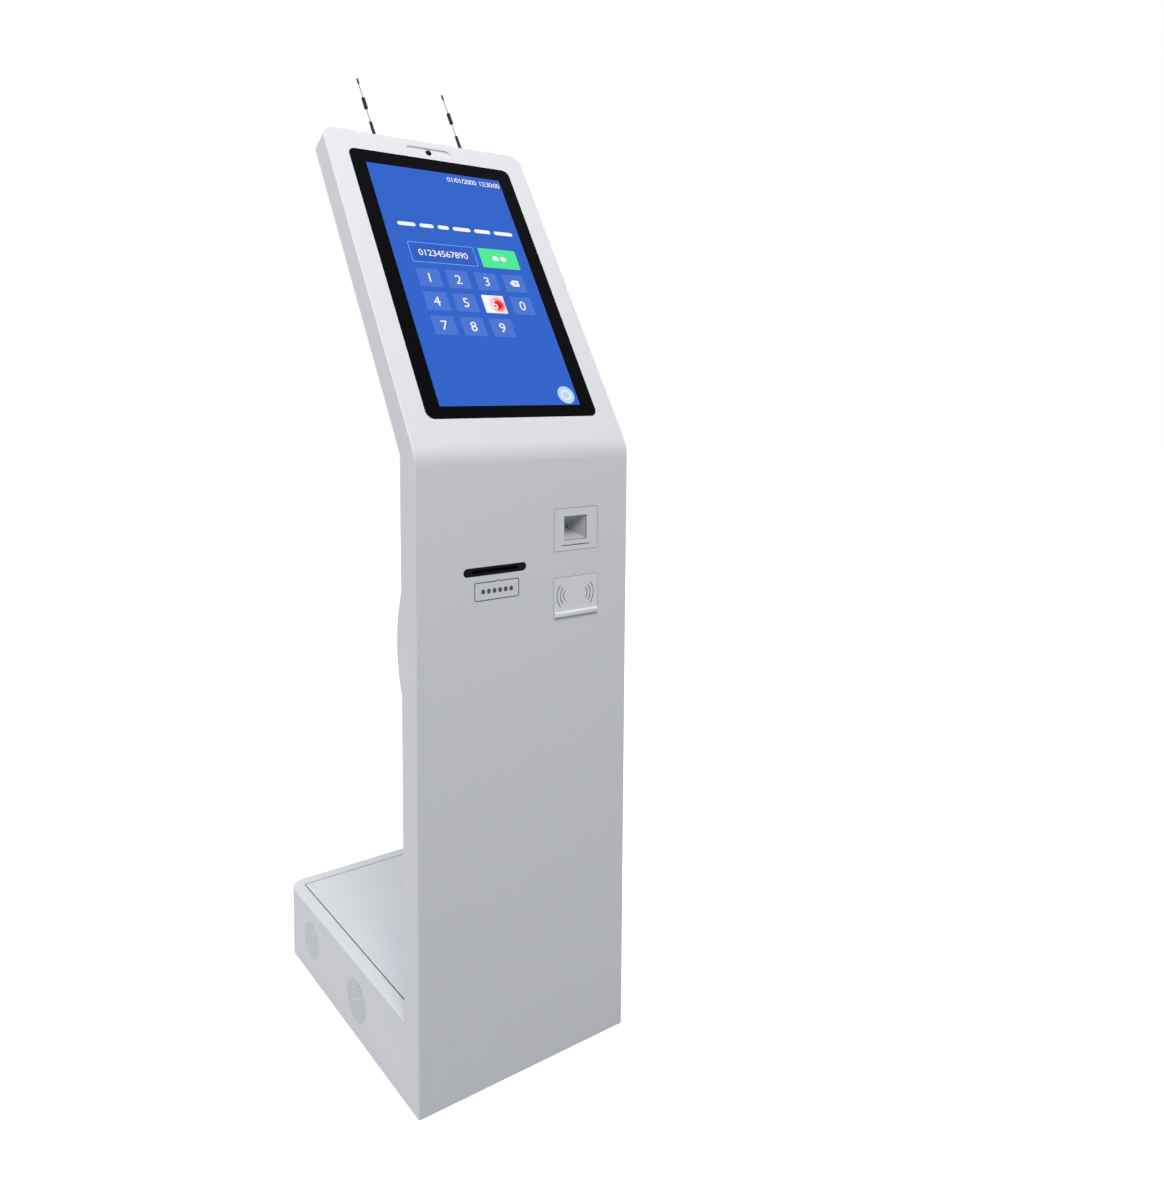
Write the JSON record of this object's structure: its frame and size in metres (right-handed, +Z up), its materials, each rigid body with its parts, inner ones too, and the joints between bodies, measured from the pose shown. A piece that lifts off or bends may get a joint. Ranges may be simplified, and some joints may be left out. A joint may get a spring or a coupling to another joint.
{
  "type": "queue ticket kiosk",
  "caption": "Slim free-standing kiosk with a leaning touch screen, ticket slot, code scanner window, card reader, two whip antennas and a low base box.",
  "frame": {"origin": "centre of the footprint on the floor", "axes": "+Z up, the screen and the ticket slot face -Y, +X to the right seen from the front"},
  "size_m": [0.44, 0.594, 1.8289],
  "materials": {
    "white_powder": "fine-textured white powder coat",
    "touch_glass": "clear glass over a black printed border",
    "display": "dark display module",
    "steel": "zinc-plated steel",
    "black_plastic": "black moulded plastic",
    "pale_plastic": "pale grey moulded plastic",
    "rubber": "black rubber",
    "paper": "thermal paper",
    "board": "green circuit board",
    "gear_plastic": "natural acetal",
    "whip": "bright steel rod",
    "case_grey": "anodised case"
  },
  "bodies": {
    "housing": {"front_panel": "white_powder", "side_band_left": "white_powder", "side_band_right": "white_powder", "head_top_band": "white_powder", "back_cover_lower": "white_powder", "back_cover_upper": "white_powder", "head_back_cover": "white_powder", "cover_screws": "steel", "door_hinge_pin": "steel", "base_plate": "steel", "foot_pads": "rubber", "base_side_left": "white_powder", "base_side_right": "white_powder", "base_back": "white_powder", "base_rim": "white_powder", "touch_glass": "touch_glass", "display_panel": "display", "display_brackets": "steel", "display_tray": "steel", "display_board": "board", "camera_bezel": "pale_plastic", "camera_module": "black_plastic", "antenna_bases": "black_plastic", "antenna_whips": "whip", "antenna_covers": "black_plastic", "ticket_bezel": "black_plastic", "scanner_bezel": "pale_plastic", "scanner_module": "black_plastic", "card_plate": "pale_plastic", "card_reader": "black_plastic", "printer_shelf": "steel", "printer_frame": "steel", "motor": "steel", "cutter_frame": "black_plastic", "printer_board": "board", "roll_bracket": "steel", "roll_spindle": "black_plastic", "control_board": "board", "computer": "case_grey", "power_supply": "case_grey", "modem": "black_plastic", "speaker": "black_plastic", "fan_frame": "black_plastic", "mains_inlet": "black_plastic", "switch_case": "black_plastic"},
    "paper_door": {"paper_door": "white_powder", "lock_body": "steel"},
    "lock": {"lock_core": "steel"},
    "base_lid": {"base_lid": "white_powder"},
    "fan_rotor": {"fan_impeller": "black_plastic"},
    "paper_roll": {"paper_roll": "paper"},
    "platen": {"platen_roller": "rubber", "platen_shaft": "steel"},
    "idler": {"idler_gear": "gear_plastic"},
    "motor_shaft": {"motor_pinion": "steel"},
    "cutter": {"cutter_blade": "steel"},
    "printer_cover": {"printer_cover": "steel", "thermal_head": "black_plastic"},
    "feed_button": {"feed_button": "gear_plastic"},
    "rocker": {"rocker": "black_plastic"}
  },
  "joints": [
    {"name": "paper_door_hinge", "type": "hinge", "parent": "housing", "child": "paper_door", "pos_m": [0, -0.24, 0.89555], "axis": [1, 0, 0], "range_deg": [0, 110]},
    {"name": "lock_turn", "type": "hinge", "parent": "paper_door", "child": "lock", "pos_m": [0, -0.243, 0.69095], "axis": [0, 1, 0], "range_deg": [0, 90]},
    {"name": "lid_lift", "type": "slide", "parent": "housing", "child": "base_lid", "axis": [0, 0, 1], "range_m": [0, 0.15]},
    {"name": "fan_spin", "type": "hinge", "parent": "housing", "child": "fan_rotor", "pos_m": [-0.206, 0.164, 0.08], "axis": [1, 0, 0], "continuous": true},
    {"name": "paper_roll_spin", "type": "hinge", "parent": "housing", "child": "paper_roll", "pos_m": [-0.068, -0.25875, 0.794], "axis": [1, 0, 0], "continuous": true},
    {"name": "platen_spin", "type": "hinge", "parent": "housing", "child": "platen", "pos_m": [-0.068, -0.263, 0.903], "axis": [1, 0, 0], "continuous": true},
    {"name": "idler_spin", "type": "hinge", "parent": "housing", "child": "idler", "pos_m": [-0.118, -0.25784, 0.88752], "axis": [1, 0, 0], "continuous": true},
    {"name": "motor_spin", "type": "hinge", "parent": "housing", "child": "motor_shaft", "pos_m": [-0.118, -0.265, 0.877], "axis": [1, 0, 0], "continuous": true},
    {"name": "cutter_stroke", "type": "slide", "parent": "housing", "child": "cutter", "axis": [0, 0, 1], "range_m": [-0.0075, 0]},
    {"name": "printer_cover_hinge", "type": "hinge", "parent": "housing", "child": "printer_cover", "pos_m": [-0.068, -0.273, 0.926], "axis": [1, 0, 0], "range_deg": [0, 60]},
    {"name": "feed_button_press", "type": "slide", "parent": "housing", "child": "feed_button", "axis": [-1, 0, 0], "range_m": [0, 0.0014], "stiffness_N_per_m": 400},
    {"name": "power_switch", "type": "hinge", "parent": "housing", "child": "rocker", "pos_m": [0.07, 0.289, 0.05], "axis": [1, 0, 0], "range_deg": [-12, 0]}
  ],
  "couplings": [
    {"joint": "platen_spin", "follows": "paper_roll_spin", "ratio": 3.7857},
    {"joint": "idler_spin", "follows": "paper_roll_spin", "ratio": -3.0286},
    {"joint": "motor_spin", "follows": "paper_roll_spin", "ratio": 7.5714}
  ]
}
